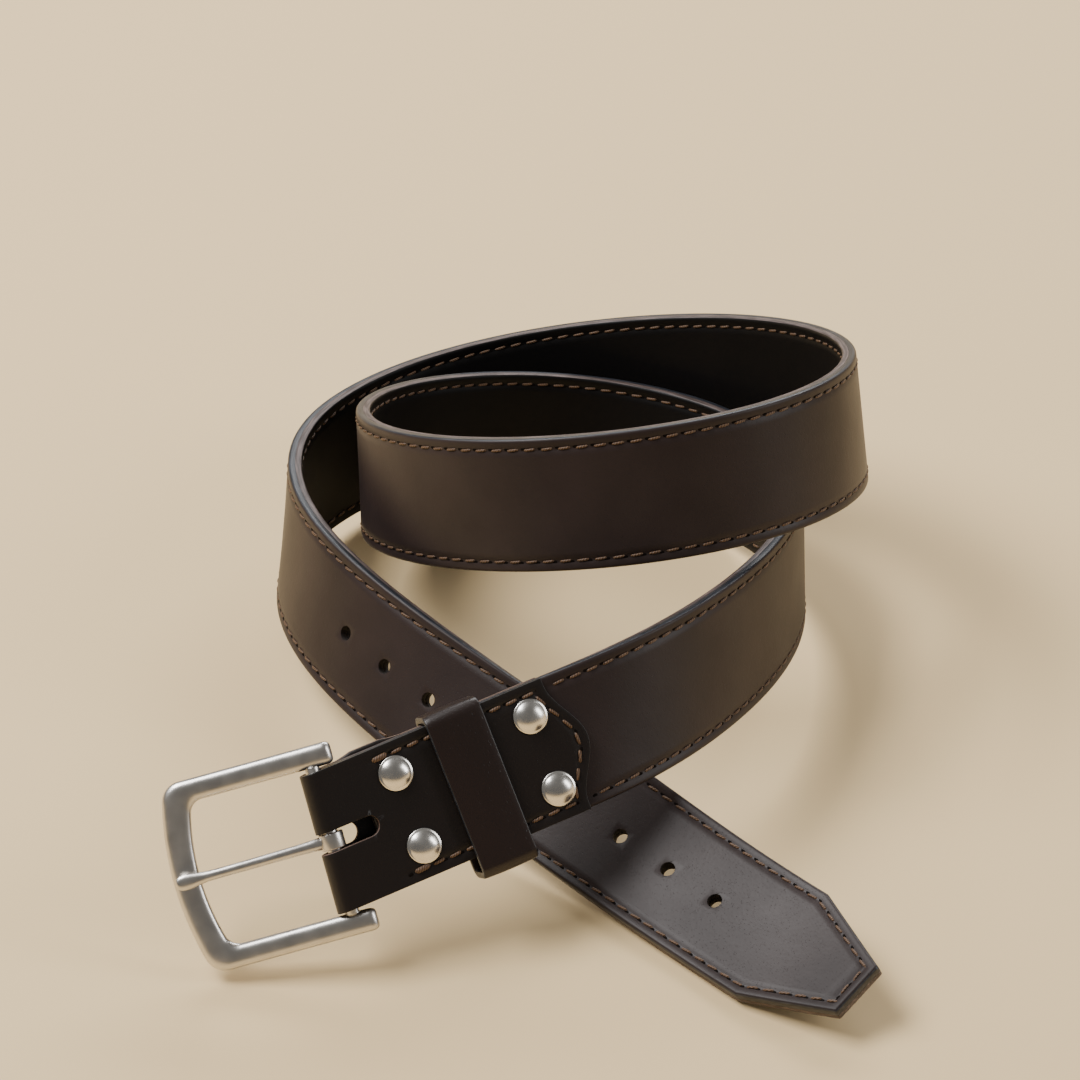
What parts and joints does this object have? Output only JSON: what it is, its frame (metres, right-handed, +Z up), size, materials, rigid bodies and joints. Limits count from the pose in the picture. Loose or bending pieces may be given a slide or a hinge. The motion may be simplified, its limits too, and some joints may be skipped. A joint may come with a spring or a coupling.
{
  "type": "leather belt",
  "caption": "Coiled gentlemen's leather belt: two sewn plies, punched holes and a cut-off tip, with a riveted chape, loose keeper, satin heel-bar buckle and hinged prong.",
  "frame": {"origin": "middle of the base, on the surface the belt lies on", "axes": "+Z up; +Y along the coil's longest side, away from the buckle; the buckle lies towards -X and -Y"},
  "size_m": [0.1952, 0.2776, 0.1023],
  "materials": {
    "outer_leather": "dark brown grain leather with a soft waxy sheen",
    "lining_leather": "near-black matt lining leather",
    "chape_leather": "very dark brown leather, reddish where it is folded",
    "keeper_leather": "dark reddish brown leather",
    "thread": "mid-brown waxed thread",
    "polished_nickel": "polished",
    "plain_steel": "plain",
    "satin_nickel": "satin"
  },
  "bodies": {
    "strap": {"strap_front": "outer_leather", "strap_back": "lining_leather", "strap_seam_front": "thread", "strap_seam_back": "thread", "chape": "chape_leather", "chape_seam_front": "thread", "chape_seam_back": "thread", "rivet_cap_1": "polished_nickel", "rivet_cap_2": "polished_nickel", "rivet_cap_3": "polished_nickel", "rivet_cap_4": "polished_nickel", "rivet_post_1": "plain_steel", "rivet_post_2": "plain_steel", "rivet_post_3": "plain_steel", "rivet_post_4": "plain_steel"},
    "buckle": {"buckle_frame": "satin_nickel"},
    "prong": {"prong": "satin_nickel"},
    "keeper": {"keeper": "keeper_leather", "keeper_staple": "plain_steel"}
  },
  "joints": [
    {"name": "buckle_swing", "type": "hinge", "parent": "strap", "child": "buckle", "pos_m": [-0.05204, -0.09539, 0.03352], "axis": [-0.2672, 0.5054, 0.8204], "range_deg": [-110, 75]},
    {"name": "prong_swing", "type": "hinge", "parent": "buckle", "child": "prong", "pos_m": [-0.05204, -0.09539, 0.03352], "axis": [-0.2672, 0.5054, 0.8204], "range_deg": [0, 85]},
    {"name": "keeper_slide", "type": "slide", "parent": "strap", "child": "keeper", "axis": [0.8997, 0.4006, 0.1736], "range_m": [-0.0068, 0.0068]}
  ]
}
